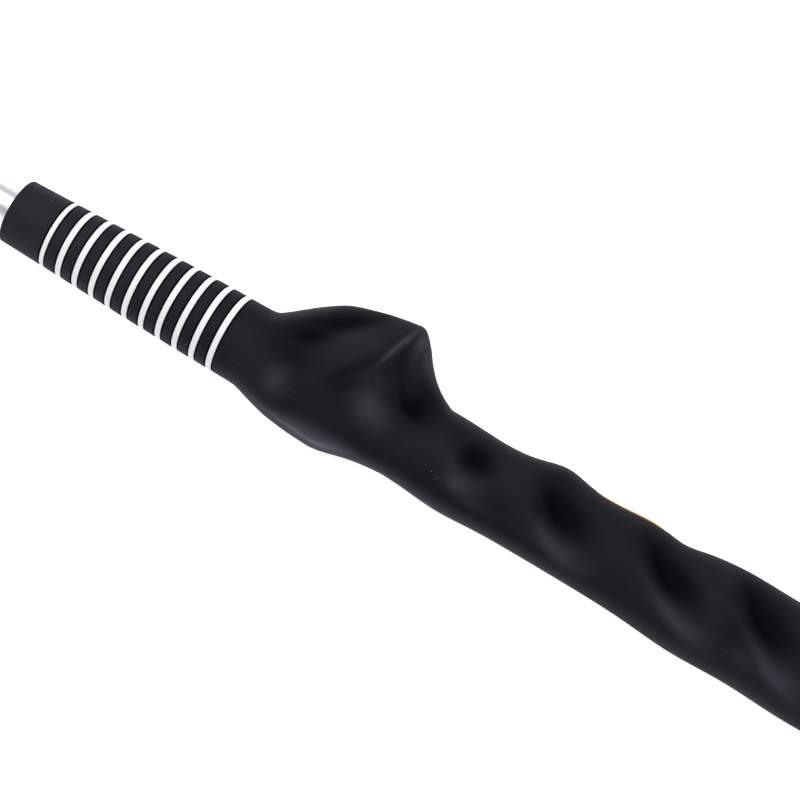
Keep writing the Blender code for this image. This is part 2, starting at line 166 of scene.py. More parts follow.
# Swells (+) and hollows (-): distance, angle, height, half length, half angle, slant in mm per degree.
# All but the last two are forms of the CAD grip too.
FORMS = (
    (15.0, 0.0, 0.7, 14.0, 60.0, 0.0),
    (50.0, 0.0, 1.1, 14.0, 60.0, 0.0),
    (125.0, 0.0, 1.0, 11.0, 60.0, 0.0),
    (42.0, 180.0, 1.0, 12.0, 60.0, 0.0),
    (60.0, 180.0, -0.9, 6.0, 45.0, 0.0),
    (72.0, 180.0, 0.6, 7.0, 55.0, 0.0),
    (98.5, 180.0, 1.9, 7.5, 60.0, 0.0),
    (70.0, 180.0, -0.55, 60.0, 70.0, 0.0),
    (116.0, 180.0, -0.8, 11.0, 60.0, 0.0),
    (177.5, 135.0, -1.6, 6.5, 30.0, -0.28),
    (163.1, 108.0, -1.1, 3.0, 22.0, -0.23),
    (169.0, 126.0, 0.8, 4.5, 36.0, -0.27),
    (154.7, 158.0, 0.5, 0.9, 24.0, -0.09),
    (150.5, 152.0, -1.0, 3.2, 13.0, 0.25),
    (181.0, 72.0, 1.0, 4.5, 16.0, 0.0),
    (154.0, 101.0, 1.1, 5.0, 20.0, 0.2),
    (170.0, 44.0, 0.7, 14.0, 18.0, 0.0),
    (170.0, 19.0, -1.0, 15.0, 15.0, 0.0),
    (173.0, 232.0, -1.3, 9.0, 26.0, 0.0),
    (166.0, 285.0, 0.76, 14.0, 40.0, 0.0),
    (95.0, 268.0, -1.3, 30.0, 24.0, 0.0),
    (174.0, 4.0, 0.35, 17.0, 36.0, 0.0),
    (155.0, 180.0, 0.28, 11.0, 26.0, 0.0),
)

# Finger dents: distance, angle, depth, reach to the butt and to the tip, reach in degrees to the palm
# and to the flange, slant in mm per degree
FINGER_DENTS = (
    (31.0, 114.0, 3.6, 10.0, 6.5, 34.0, 34.0, 0.22),
    (59.0, 104.0, 3.7, 9.5, 6.5, 30.0, 34.0, 0.22),
    (93.0, 106.0, 3.7, 10.0, 6.5, 32.0, 30.0, 0.12),
    (120.5, 112.0, 2.2, 6.5, 5.0, 28.0, 22.0, 0.0),
)
FULL_DENT_DEPTH = 3.7

# Scoop behind the flange for the trigger finger, in the same terms
TRIGGER_SCOOP = (144.5, 134.0, 4.0, 6.5, 5.5, 24.0, 22.0, 0.17)

# Painted shade, partly grime, in hollows and dark bands besides the finger dents: distance, angle, half
# length, half angle, slant, strength
SHADE_AND_GRIME_PATCHES = (
    (180.0, 108.0, 8.0, 20.0, -0.03, 0.8),
    (177.8, 130.0, 8.4, 20.0, -0.15, 1.12),
    (171.0, 156.0, 8.0, 24.0, -0.4, 1.1),
    (163.0, 115.0, 2.8, 27.0, -0.21, 0.6),
    (161.3, 104.0, 3.4, 19.0, -0.25, 0.8),
    (151.5, 146.0, 3.0, 15.0, 0.2, 0.55),
    (143.0, 136.0, 5.6, 25.0, -0.05, 1.15),
    (143.5, 104.0, 4.0, 12.0, 0.0, 0.35),
    (125.0, 81.0, 3.0, 9.0, 0.0, 0.4),
    (99.5, 95.0, 2.8, 15.0, 0.12, 0.7),
    (89.0, 51.0, 6.0, 8.0, 0.0, 0.45),
    (34.5, 86.0, 4.5, 13.0, 0.3, 0.5),
    (120.0, 47.0, 75.0, 11.0, 0.0, 0.45),
    (174.0, 55.0, 16.0, 9.0, 0.0, 0.25),
)
# Painted shade in the ring grooves and inside the mouth's lip
GROOVE_SHADE = 1.15

# Painted highlights, partly pale rubbing by hands, on rims, ridges, raised places and the ring section:
# distance, angle, half length, half angle, slant, strength
HIGHLIGHT_AND_RUBBING_PATCHES = (
    (152.6, 95.0, 5.2, 19.5, 0.1, 1.0),
    (179.8, 72.5, 3.8, 14.0, 0.0, 0.75),
    (155.0, 156.0, 0.75, 18.0, -0.09, 1.7),
    (150.8, 170.0, 1.8, 9.0, 0.0, 1.3),
    (165.0, 143.0, 6.0, 24.0, -0.27, 0.3),
    (147.0, 171.0, 4.5, 9.0, 0.0, 0.8),
    (154.0, 120.5, 2.8, 9.0, 0.0, 0.4),
    (117.5, 57.5, 6.5, 8.0, 0.0, 0.4),
    (30.0, 64.0, 5.5, 12.0, 0.0, 0.45),
    (162.0, 23.0, 6.0, 13.0, 0.0, 3.2),
    (150.0, 6.0, 45.0, 20.0, 0.0, 1.2),
    (276.0, 90.0, 62.0, 400.0, 0.0, 0.38),
)

# Painted highlight along the bulb's palm-side edge: distance, angle, half length, half angle, strength
PALM_EDGE_HIGHLIGHT = (164.5, 26.0, 12.5, 24.0, 1.8)

# Painted light about a finger dent, in shares of the dent's reach along the stick and around it: painted
# shade about a middle a little off the dent's own, narrowed by two factors, full to one reach and gone at
# another, and a painted highlight, a pale crescent outside it, towards the palm side
DENT_SHADE_MIDDLE = (0.1, 0.08)
DENT_SHADE_NARROWING = (0.95, 0.98)
DENT_SHADE_FULL = 0.4
DENT_SHADE_END = 1.5
CRESCENT_REACH = 1.55
CRESCENT_HALF_WIDTH = 0.42
CRESCENT_DIRECTION = (0.25, -0.97)


# ---------------------------------------------------------------- the grip's surface

def bell(distance, reach, power=2.0):
    """One at zero distance, falling smoothly away."""
    return np.exp(-np.abs(distance / reach) ** power)


def turn_between(angle, other):
    """Signed angle from other to angle, in degrees."""
    return (angle - other + 180.0) % 360.0 - 180.0


def patch(distance, angle, centre, direction, half_length, half_angle, slant):
    """One at the middle of a soft oval on the grip, falling away along the stick and around it."""
    turn = turn_between(angle, direction)
    return bell(distance - centre - slant * turn, half_length) * bell(turn, half_angle)


def soft_step(value, low, high):
    """Zero under low, one over high, smooth between."""
    share = np.clip((value - low) / (high - low), 0.0, 1.0)
    return share * share * (3.0 - 2.0 * share)


def outline_at(points, position):
    """Height of a smooth curve through the outline's points, which never overshoots them."""
    places = np.array([p[0] for p in points], float)
    heights = np.array([p[1] for p in points], float)
    spans = np.diff(places)
    rates = np.diff(heights) / spans
    slopes = np.zeros(len(points))
    slopes[0] = rates[0]
    slopes[-1] = rates[-1]
    for i in range(1, len(points) - 1):
        if rates[i - 1] * rates[i] > 0.0:
            slopes[i] = 2.0 * rates[i - 1] * rates[i] / (rates[i - 1] + rates[i])
    position = np.clip(position, places[0], places[-1])
    index = np.clip(np.searchsorted(places, position, side="right") - 1, 0, len(spans) - 1)
    t = (position - places[index]) / spans[index]
    height = (1.0 + 2.0 * t) * (1.0 - t) ** 2 * heights[index]
    height += t * t * (3.0 - 2.0 * t) * heights[index + 1]
    height += t * (1.0 - t) ** 2 * spans[index] * slopes[index]
    height += t * t * (t - 1.0) * spans[index] * slopes[index + 1]
    return height


def bulb_rise(distance, angle):
    """Height of the bulb and its thumb flange over the round body."""
    beta = np.abs(turn_between(angle, FLANGE_ANGLE))
    near_flange = bell(beta, CREST_BEND_ANGLE)
    crest = PALM_CREST + (FLANGE_CREST - PALM_CREST) * near_flange
    fall_length = PALM_FALL + (FLANGE_FALL - PALM_FALL) * near_flange
    rise = outline_at(RISE_OUTLINE, (BULB_START - distance) / (BULB_START - crest))
    fall = outline_at(FALL_OUTLINE, (crest - distance) / fall_length)
    share = np.where(distance > crest, rise, fall)
    return share * (BELLY_RISE + FLANGE_RISE * bell(beta, FLANGE_HALF_ANGLE, FLANGE_SHARPNESS))


def grip_radius(distance, angle):
    """Distance of the grip's surface from the axis."""
    distance, angle = np.broadcast_arrays(np.asarray(distance, float), np.asarray(angle, float))
    radius = outline_at(BODY_OUTLINE, distance) + bulb_rise(distance, angle)
    for centre, direction, height, half_length, half_angle, slant in FORMS:
        share = patch(distance, angle, centre, direction, half_length, half_angle, slant)
        radius = radius + height * share
    for dent in (*FINGER_DENTS, TRIGGER_SCOOP):
        depth = dent[2]
        along, around = dent_offsets(dent, distance, angle)
        radius = radius - depth * bell(along, 1.0) * bell(around, 1.0)
    return radius


def dent_offsets(dent, distance, angle):
    """Offsets from a dent's centre along and around the grip, as shares of its reach."""
    centre, direction, _, to_butt, to_tip, to_palm, to_flange, slant = dent
    turn = turn_between(angle, direction)
    offset = distance - centre - slant * turn
    along = offset / np.where(offset < 0.0, to_butt, to_tip)
    around = turn / np.where(turn < 0.0, to_palm, to_flange)
    return along, around


def painted_shade_and_highlights(distance, angle):
    """Strength of the painted shade, partly grime, in hollows and dark bands, and of the painted
    highlights, partly pale rubbing, on rims and raised places.
    """
    shade_and_grime = np.zeros(np.broadcast(distance, angle).shape)
    highlight_and_rubbing = np.zeros_like(shade_and_grime)
    for *oval, strength in SHADE_AND_GRIME_PATCHES:
        shade_and_grime = np.maximum(shade_and_grime, strength * patch(distance, angle, *oval))
    for dent in FINGER_DENTS:
        depth = dent[2]
        size = (depth / FULL_DENT_DEPTH) ** 0.3
        along, around = dent_offsets(dent, distance, angle)
        reach = np.hypot(DENT_SHADE_NARROWING[0] * (along - DENT_SHADE_MIDDLE[0]),
                         DENT_SHADE_NARROWING[1] * (around - DENT_SHADE_MIDDLE[1])) / size
        # Painted shade in the dent, partly grime
        shade_and_grime = np.maximum(shade_and_grime, 1.0 - soft_step(reach, DENT_SHADE_FULL, DENT_SHADE_END))
        reach = np.hypot(along, around)
        toward = CRESCENT_DIRECTION[0] * along + CRESCENT_DIRECTION[1] * around
        lean = np.clip(toward / np.maximum(reach, 0.2), 0.0, 1.0)
        # Painted highlight: a pale crescent on the dent's palm-side rim
        highlight_and_rubbing = np.maximum(highlight_and_rubbing, size * bell(reach - CRESCENT_REACH, CRESCENT_HALF_WIDTH) * lean ** 4)
    for *oval, strength in HIGHLIGHT_AND_RUBBING_PATCHES:
        highlight_and_rubbing = np.maximum(highlight_and_rubbing, strength * patch(distance, angle, *oval))
    # Painted highlight along the bulb's palm-side edge
    centre, direction, half_length, half_angle, strength = PALM_EDGE_HIGHLIGHT
    reach = np.hypot((distance - centre) / half_length, turn_between(angle, direction) / half_angle)
    return shade_and_grime, np.maximum(highlight_and_rubbing, strength * bell(reach, 1.0, 4.0))


def place(distance, radius, angle):
    """World positions of points given about the stick's axis."""
    turned = np.radians(angle) + ROLL
    x, y, z = np.broadcast_arrays(BUTT_X + distance * MM, AXIS_Y + radius * MM * np.cos(turned),
                                  AXIS_Z + radius * MM * np.sin(turned))
    return np.stack([x, y, z], axis=-1)


def unplaced(points):
    """Distance and angle of world positions."""
    distance = (points[..., 0] - BUTT_X) / MM
    angle = np.degrees(np.arctan2(points[..., 2] - AXIS_Z, points[..., 1] - AXIS_Y) - ROLL)
    return distance, angle % 360.0


def ends(node):
    """Distances from the butt face of the two ends of a CAD node."""
    low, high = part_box(node)
    return (low.x - BUTT_X) / MM, (high.x - BUTT_X) / MM


# ---------------------------------------------------------------- mesh building

def grid_faces(rows, columns, rows_closed, columns_closed):
    """Quads between neighbouring points of a grid."""
    i = np.arange(rows if rows_closed else rows - 1)
    j = np.arange(columns if columns_closed else columns - 1)
    i, j = np.meshgrid(i, j, indexing="ij")
    below = (i + 1) % rows
    beside = (j + 1) % columns
    corners = np.stack([i * columns + j, i * columns + beside,
                        below * columns + beside, below * columns + j], axis=-1)
    return corners.reshape(-1, 4).tolist()


def mesh_piece(name, points, faces, finish, merge=False, sharp_degrees=38.0):
    """Object from points and faces, facing outward and shaded smooth."""
    mesh = bpy.data.meshes.new(name)
    mesh.from_pydata(points.reshape(-1, 3).tolist(), [], faces)
    build = bmesh.new()
    build.from_mesh(mesh)
    if merge:
        bmesh.ops.remove_doubles(build, verts=build.verts, dist=1e-7)
    bmesh.ops.recalc_face_normals(build, faces=build.faces)
    if build.calc_volume(signed=True) < 0.0:
        bmesh.ops.reverse_faces(build, faces=build.faces)
    build.to_mesh(mesh)
    build.free()
    mesh.shade_smooth()
    mesh.set_sharp_from_angle(angle=math.radians(sharp_degrees))
    mesh.materials.append(finish)
    piece = bpy.data.objects.new(name, mesh)
    bpy.context.scene.collection.objects.link(piece)
    return piece


def point_values(piece, name, values):
    """Store one number for each point, which a material reads by its name."""
    layer = piece.data.attributes.new(name, "FLOAT", "POINT")
    layer.data.foreach_set("value", np.asarray(values, np.float32).ravel())


def add_piece(piece, node):
    """Let a piece stand for a CAD node."""
    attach(piece, "root")
    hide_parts(node)


def filleted(corners):
    """Outline with rounded corners: each corner is (distance, radius, fillet)."""
    points = []
    count = len(corners)
    for i in range(count):
        before = np.array(corners[i - 1][:2], float)
        corner = np.array(corners[i][:2], float)
        after = np.array(corners[(i + 1) % count][:2], float)
        fillet = corners[i][2]
        if fillet <= 0.0:
            points.append(tuple(corner))
            continue
        to_before = (before - corner) / np.linalg.norm(before - corner)
        to_after = (after - corner) / np.linalg.norm(after - corner)
        half_turn = math.acos(np.clip(np.dot(to_before, to_after), -1.0, 1.0)) / 2
        setback = fillet / math.tan(half_turn)
        middle = (to_before + to_after) / np.linalg.norm(to_before + to_after)
        centre = corner + middle * fillet / math.sin(half_turn)
        first = corner + to_before * setback - centre
        last = corner + to_after * setback - centre
        span = math.acos(np.clip(np.dot(first, last) / fillet ** 2, -1.0, 1.0))
        steps = max(3, math.ceil(fillet * 2.5))
        for k in range(steps + 1):
            t = k / steps
            blend = (math.sin((1 - t) * span) * first + math.sin(t * span) * last) / math.sin(span)
            points.append(tuple(centre + blend))
    return points


def turned_piece(name, outline, sides, finish):
    """Solid of revolution from a closed outline of (distance, radius) points."""
    distances = np.array([p[0] for p in outline])[:, None]
    radii = np.array([p[1] for p in outline])[:, None]
    angles = np.arange(sides) * 360.0 / sides
    points = place(distances, radii, angles)
    faces = grid_faces(len(outline), sides, True, True)
    return mesh_piece(name, points, faces, finish, merge=True)


# ---------------------------------------------------------------- material nodes

class Nodes:
    """Short calls for building one material."""

    def __init__(self, name):
        self.material = bpy.data.materials.new(name)
        self.material.use_nodes = True
        self.tree = self.material.node_tree
        self.shader = self.tree.nodes["Principled BSDF"]
        self.coordinates = self.tree.nodes.new("ShaderNodeTexCoord").outputs["Object"]

    def put(self, socket, value):
        if isinstance(value, bpy.types.NodeSocket):
            self.tree.links.new(value, socket)
        else:
            socket.default_value = value

    def principled(self, **values):
        for name, value in values.items():
            self.put(self.shader.inputs[name.replace("_", " ")], value)

    def stretched(self, scale):
        node = self.tree.nodes.new("ShaderNodeMapping")
        node.inputs["Scale"].default_value = scale
        self.tree.links.new(self.coordinates, node.inputs["Vector"])
        return node.outputs["Vector"]

    def noise(self, size_mm, detail=3.0, roughness=0.5, vector=None, distortion=0.0):
        node = self.tree.nodes.new("ShaderNodeTexNoise")
        node.inputs["Scale"].default_value = 1.0 / (size_mm * MM)
        node.inputs["Detail"].default_value = detail
        node.inputs["Roughness"].default_value = roughness
        node.inputs["Distortion"].default_value = distortion
        self.tree.links.new(vector or self.coordinates, node.inputs["Vector"])
        return node.outputs["Fac"]

    def cells(self, size_mm):
        """Distance to the nearest of scattered points, and that point's random colour."""
        node = self.tree.nodes.new("ShaderNodeTexVoronoi")
        node.inputs["Scale"].default_value = 1.0 / (size_mm * MM)
        self.tree.links.new(self.coordinates, node.inputs["Vector"])
        return node.outputs["Distance"], node.outputs["Color"]

    def ramp(self, value, low, high, to_low=0.0, to_high=1.0):
        node = self.tree.nodes.new("ShaderNodeMapRange")
        node.interpolation_type = "SMOOTHSTEP"
        limits = {"From Min": low, "From Max": high, "To Min": to_low, "To Max": to_high}
        for name, number in limits.items():
            node.inputs[name].default_value = number
        self.put(node.inputs["Value"], value)
        return node.outputs["Result"]

    def math(self, operation, *values):
        node = self.tree.nodes.new("ShaderNodeMath")
        node.operation = operation
        for socket, value in zip(node.inputs, values):
            self.put(socket, value)
        return node.outputs["Value"]

    def mix(self, share, first, second):
        node = self.tree.nodes.new("ShaderNodeMix")
        node.data_type = "RGBA"
        self.put(node.inputs["Factor"], share)
        self.put(node.inputs["A"], first if isinstance(first, bpy.types.NodeSocket) else (*first, 1.0))
        self.put(node.inputs["B"], (*second, 1.0))
        return node.outputs["Result"]

    def bump(self, height, depth_mm, strength=1.0, normal=None):
        node = self.tree.nodes.new("ShaderNodeBump")
        node.inputs["Distance"].default_value = depth_mm * MM
        node.inputs["Strength"].default_value = strength
        self.tree.links.new(height, node.inputs["Height"])
        if normal is not None:
            self.tree.links.new(normal, node.inputs["Normal"])
        return node.outputs["Normal"]

    def edges(self, low, high):
        """One on convex edges, zero on flats."""
        node = self.tree.nodes.new("ShaderNodeNewGeometry")
        return self.ramp(node.outputs["Pointiness"], low, high)

    def attribute(self, name):
        node = self.tree.nodes.new("ShaderNodeAttribute")
        node.attribute_name = name
        return node.outputs["Fac"]


def rubber(name, tone, roughness, grain_mm, grain_depth_mm):
    """Moulded black rubber: fine grain, cloudy sheen, a few scuffs and specks of dust.

    Painted shade, partly grime, and painted highlights, partly pale rubbing, come from the values that a
    piece stores on its points, if it has any.
    """
    n = Nodes(name)
    clouds = n.noise(16.0, 4.0, 0.55)
    grain = n.noise(grain_mm, 4.0, 0.65)
    scratches = n.noise(2.2, 2.0, 0.4, n.stretched((0.35, 1.0, 1.0)), 1.5)
    scuffed = n.math("MULTIPLY", n.ramp(scratches, 0.66, 0.72), n.ramp(n.noise(11.0, 2.0), 0.56, 0.68))
    distance, chance = n.cells(2.6)
    speck = n.math("MULTIPLY", n.ramp(distance, 0.075, 0.045), n.ramp(chance, 0.86, 0.87))
    worn = n.edges(0.53, 0.6)
    dark = tuple(0.86 * c for c in tone)
    light = tuple(1.18 * c for c in tone)
    colour = n.mix(n.ramp(clouds, 0.35, 0.65), dark, light)
    shade_and_grime = n.attribute("shade_and_grime")
    highlight_and_rubbing = n.math("MULTIPLY", n.attribute("highlight_and_rubbing"), n.ramp(n.noise(5.0, 3.0), 0.2, 0.7, 0.75, 1.0))
    # Painted shade, partly grime: darker in hollows, grooves and dark bands
    colour = n.mix(n.math("MULTIPLY", shade_and_grime, 0.8), colour, tuple(0.15 * c for c in tone))
    # Painted highlights, partly pale rubbing: pale patches on rims, ridges and dent crescents
    pale = tuple(gain * c for gain, c in zip((12.0, 12.0, 12.2), tone))
    colour = n.mix(n.math("MULTIPLY", highlight_and_rubbing, 0.255), colour, pale)
    colour = n.mix(n.math("MULTIPLY", scuffed, 0.25), colour, (0.06, 0.06, 0.065))
    colour = n.mix(n.math("MULTIPLY", worn, 0.4), colour, (0.03, 0.03, 0.033))
    colour = n.mix(n.math("MULTIPLY", speck, 0.5), colour, (0.32, 0.31, 0.3))
    sheen = n.ramp(clouds, 0.3, 0.7, roughness - 0.05, roughness + 0.06)
    sheen = n.math("ADD", sheen, n.ramp(grain, 0.3, 0.7, -0.05, 0.05))
    sheen = n.math("SUBTRACT", sheen, n.math("MULTIPLY", scuffed, 0.12))
    fine = n.bump(grain, grain_depth_mm)
    normal = n.bump(n.noise(3.5, 3.0), 0.05, 0.6, fine)
    gloss = n.math("MULTIPLY_ADD", shade_and_grime, -0.055, 0.075)
    n.principled(Base_Color=colour, Roughness=sheen, Specular_IOR_Level=gloss, Normal=normal)
    return n.material


def white_filling():
    """White line filling: slightly mottled, satin, with painted shade along its edges, where they sink
    into the groove.
    """
    n = Nodes("white_filling")
    mottle = n.noise(1.6, 4.0, 0.6)
    colour = n.mix(n.ramp(mottle, 0.3, 0.7), (0.92, 0.92, 0.91), (0.96, 0.96, 0.95))
    stain = n.math("MULTIPLY", n.ramp(n.noise(7.0, 3.0), 0.58, 0.75), 0.12)
    colour = n.mix(stain, colour, (0.5, 0.47, 0.42))
    # Painted shade at the edges, where the filling sinks into its groove
    edge_shade = n.attribute("edge_shade")
    colour = n.mix(edge_shade, colour, (0.02, 0.02, 0.022))
    normal = n.bump(n.noise(0.35, 3.0, 0.6), 0.02)
    n.principled(Base_Color=colour, Roughness=n.ramp(mottle, 0.3, 0.7, 0.42, 0.55),
                 Specular_IOR_Level=0.4, Normal=normal)
    return n.material


def orange_filling():
    """Orange filling of the plain side mark."""
    n = Nodes("orange_filling")
    mottle = n.noise(1.8, 4.0, 0.6)
    colour = n.mix(n.ramp(mottle, 0.3, 0.7), (0.90, 0.40, 0.03), (1.0, 0.52, 0.06))
    # Painted shade at the edges, where the filling sinks into its recess
    edge_shade = n.math("MULTIPLY", n.attribute("edge_shade"), 0.6)
    colour = n.mix(edge_shade, colour, (0.2, 0.07, 0.01))
    normal = n.bump(n.noise(0.35, 3.0, 0.6), 0.02)
    n.principled(Base_Color=colour, Roughness=n.ramp(mottle, 0.3, 0.7, 0.4, 0.52), Normal=normal)
    return n.material


def plated_steel():
    """Bright plated tube: fine lines along it, faint smudges, a few hairline scratches."""
    n = Nodes("bright_steel")
    lines = n.noise(0.25, 3.0, 0.7, n.stretched((0.01, 1.0, 1.0)))
    smudge = n.noise(22.0, 4.0, 0.6)
    hair = n.noise(0.6, 1.0, 0.3, n.stretched((0.12, 1.0, 1.0)), 0.8)
    scratched = n.math("MULTIPLY", n.ramp(hair, 0.68, 0.71), n.ramp(n.noise(9.0), 0.5, 0.65))
    colour = n.mix(n.ramp(lines, 0.3, 0.7), (0.84, 0.84, 0.88), (0.92, 0.92, 0.94))
    colour = n.mix(n.math("MULTIPLY", scratched, 0.4), colour, (0.6, 0.6, 0.62))
    roughness = n.math("ADD", n.ramp(smudge, 0.35, 0.7, 0.34, 0.44), n.math("MULTIPLY", scratched, 0.12))
    normal = n.bump(lines, 0.004)
    n.principled(Base_Color=colour, Metallic=0.55, Roughness=roughness, Normal=normal)
    return n.material


def gloss_plastic():
    """Gloss black ferrule with polish marks around it."""
    n = Nodes("ferrule_plastic")
    rings = n.noise(0.4, 3.0, 0.6, n.stretched((1.0, 0.05, 0.05)))
    dusty = n.noise(6.0, 4.0, 0.6)
    colour = n.mix(n.ramp(dusty, 0.45, 0.75), (0.008, 0.008, 0.009), (0.02, 0.02, 0.021))
    colour = n.mix(n.math("MULTIPLY", n.edges(0.53, 0.58), 0.3), colour, (0.05, 0.05, 0.05))
    n.principled(Base_Color=colour, Roughness=n.ramp(dusty, 0.35, 0.7, 0.12, 0.26),
                 Coat_Weight=0.3, Normal=n.bump(rings, 0.004))
    return n.material


def machined_steel(name, tone, roughness):
    """Turned steel with fine tool marks around it."""
    n = Nodes(name)
    marks = n.noise(0.3, 3.0, 0.6, n.stretched((1.0, 0.04, 0.04)))
    oil = n.noise(8.0, 3.0)
    colour = n.mix(n.ramp(marks, 0.3, 0.7), tuple(0.85 * c for c in tone), tone)
    n.principled(Base_Color=colour, Metallic=1.0,
                 Roughness=n.ramp(oil, 0.35, 0.7, roughness - 0.08, roughness + 0.1),
                 Normal=n.bump(marks, 0.01))
    return n.material


def crepe_tape():
    """Beige paper tape with crepe ripples across it."""
    n = Nodes("grip_tape")
    ripple = n.noise(0.8, 3.0, 0.6, n.stretched((1.0, 0.15, 0.15)))
    colour = n.mix(n.ramp(ripple, 0.3, 0.7), (0.42, 0.33, 0.2), (0.62, 0.52, 0.36))
    n.principled(Base_Color=colour, Roughness=0.85, Normal=n.bump(ripple, 0.08))
    return n.material


# ---------------------------------------------------------------- grip skin, its bands and its cap

def ring_places():
    """Centre and half width of each ring line, from the mouth to the bulb."""
    rings = []
    for i in range(RING_COUNT):
        width = RING_FIRST_WIDTH if i == 0 else RING_WIDTH
        rings.append((RING_FIRST - RING_PITCH * i, width / 2))
    return rings


def chevron_path(share):
    """Distance and angle of the chevron's centre line, share from -1 to 1."""
    along = (1.0 - np.exp(-CHEVRON_BEND * np.abs(share))) / CHEVRON_FULLNESS
    return CHEVRON_APEX + CHEVRON_LENGTH * along, CHEVRON_ANGLE + CHEVRON_HALF_ANGLE * share


def unrolled(distance, angle, about, radius):
    """Grip surface as a flat sheet, in millimetres, around one angle."""
    across = np.radians(turn_between(angle, about)) * radius
    return np.stack(np.broadcast_arrays(distance, across), axis=-1)


def chevron_distance(distance, angle):
    """Distance on the sheet from the chevron's centre line."""
    shares = np.linspace(-1.0, 1.0, 81)
    path = unrolled(*chevron_path(shares), CHEVRON_ANGLE, CHEVRON_SHEET_RADIUS)
    points = unrolled(distance, angle, CHEVRON_ANGLE, CHEVRON_SHEET_RADIUS)
    nearest = np.full(points.shape[:-1], np.inf)
    for start, end in zip(path[:-1], path[1:]):
        run = end - start
        t = np.clip(((points - start) @ run) / (run @ run), 0.0, 1.0)
        gap = np.linalg.norm(points - start - t[..., None] * run, axis=-1)
        nearest = np.minimum(nearest, gap)
    return nearest


def mark_distance(distance, angle):
    """Distance outside the side mark's rounded bar, negative inside."""
    points = unrolled(distance, angle, MARK_MIDDLE_ANGLE, MARK_SHEET_RADIUS)
    straight = (MARK_LENGTH / 2 - MARK_CORNER, MARK_HALF_WIDTH - MARK_CORNER)
    over = np.abs(points - (MARK_CENTRE, 0.0)) - straight
    outside = np.linalg.norm(np.maximum(over, 0.0), axis=-1)
    inside = np.minimum(np.maximum(over[..., 0], over[..., 1]), 0.0)
    return outside + inside - MARK_CORNER


def sculpted_stations():
    """Distances of the skin's loops from the cap to the foot of the ring section, closest at the crest."""
    body = np.arange(6.0, 148.0, 0.9)
    crest = np.arange(148.0, 161.0, 0.4)
    bulb = np.arange(161.0, 199.0, 0.6)
    return np.concatenate([body, crest, bulb])


def groove_profile():
    """Distance and depth of each loop across the ring grooves, from the bulb to the mouth."""
    profile = []
    for centre, half in reversed(ring_places()):
        edge = half + RING_GAP
        side = ((-edge - 0.75, 0.0), (-edge - 0.22, 0.0), (-edge - 0.1, 0.03), (-edge - 0.02, 0.12),
                (-edge, 0.25), (-edge, RING_DEPTH + 0.3))
        profile += [(centre + offset, depth) for offset, depth in side]
        profile += [(centre - offset, depth) for offset, depth in reversed(side)]
    return profile


def skin_loop(distance, radius):
    """One loop of points about the axis."""
    return place(distance, radius, SKIN_ANGLES)


def surface_loop(distance, height=0.0):
    """One loop of points at a height over the grip's surface."""
    return skin_loop(distance, grip_radius(distance, SKIN_ANGLES) + height)


def sculpted_loops():
    """Loops of the sculpted part, with the chevron's groove and the side mark's recess."""
    stations = sculpted_stations()[:, None]
    radii = grip_radius(stations, SKIN_ANGLES)
    edge = CHEVRON_WIDTH / 2 + 0.05
    near = chevron_distance(stations, SKIN_ANGLES)
    radii -= (CHEVRON_DEPTH + RECESS_GAP) * (1.0 - soft_step(near, edge, edge + 0.6))
    near = mark_distance(stations, SKIN_ANGLES)
    radii -= (MARK_DEPTH + RECESS_GAP) * (1.0 - soft_step(near, 0.0, 0.6))
    return place(stations, radii, SKIN_ANGLES)


def grip_skin(finish):
    """The moulded grip, with ring grooves, chevron groove, mark recess, mouth lip and bore.

    Painted shade darkens the grooves and the inside of the lip.
    """
    mouth = ends("grip_body")[1]
    start = CAP_THICKNESS + CAP_GAP
    start_radius = grip_radius(start, SKIN_ANGLES)
    loops = [skin_loop(start, BORE_RADIUS), skin_loop(start, start_radius - 0.35),
             skin_loop(start + 0.1, start_radius - 0.1), surface_loop(start + 0.35)]
    loops += list(sculpted_loops())
    shaded_loops = []
    for distance, depth in groove_profile():
        if depth > 0.0:
            shaded_loops.append(len(loops))
        loops.append(surface_loop(distance, -depth))
    for step in range(5):
        turn = math.radians(90.0 * step / 4)
        if step > 1:
            shaded_loops.append(len(loops))
        distance = mouth - MOUTH_LIP + MOUTH_LIP * math.sin(turn)
        loops.append(surface_loop(distance, -MOUTH_LIP * (1.0 - math.cos(turn))))
    fit_radius = SHAFT_RADIUS + MOUTH_GAP
    loops += [skin_loop(mouth, fit_radius + 0.25), skin_loop(mouth - 0.25, fit_radius),
              skin_loop(mouth - MOUTH_FIT, fit_radius), skin_loop(mouth - MOUTH_FIT - 1.0, BORE_RADIUS)]
    points = np.stack(loops)
    faces = grid_faces(len(loops), SKIN_SIDES, True, True)
    piece = mesh_piece("grip_skin", points, faces, finish, sharp_degrees=50.0)
    shade_and_grime, highlight_and_rubbing = painted_shade_and_highlights(*unplaced(points))
    # Painted shade in the grooves and inside the lip
    shade_and_grime[shaded_loops] = GROOVE_SHADE
    highlight_and_rubbing[shaded_loops] = 0.0
    point_values(piece, "shade_and_grime", shade_and_grime)
    point_values(piece, "highlight_and_rubbing", highlight_and_rubbing)
    add_piece(piece, "grip_body")


def band_profile(half, depth):
    """Across a filled line: offset from its middle, height over the grip's surface, share of painted shade
    at its edge.
    """
    return ((-half + 0.06, -depth, 1.0), (-half, -0.14, 1.0), (-half + 0.03, -0.04, 0.8),
            (-half + 0.1, 0.0, 0.15), (-half + 0.22, 0.015, 0.0), (0.0, 0.03, 0.0),
            (half - 0.22, 0.015, 0.0), (half - 0.1, 0.0, 0.15), (half - 0.03, -0.04, 0.8),
            (half, -0.14, 1.0), (half - 0.06, -depth, 1.0))


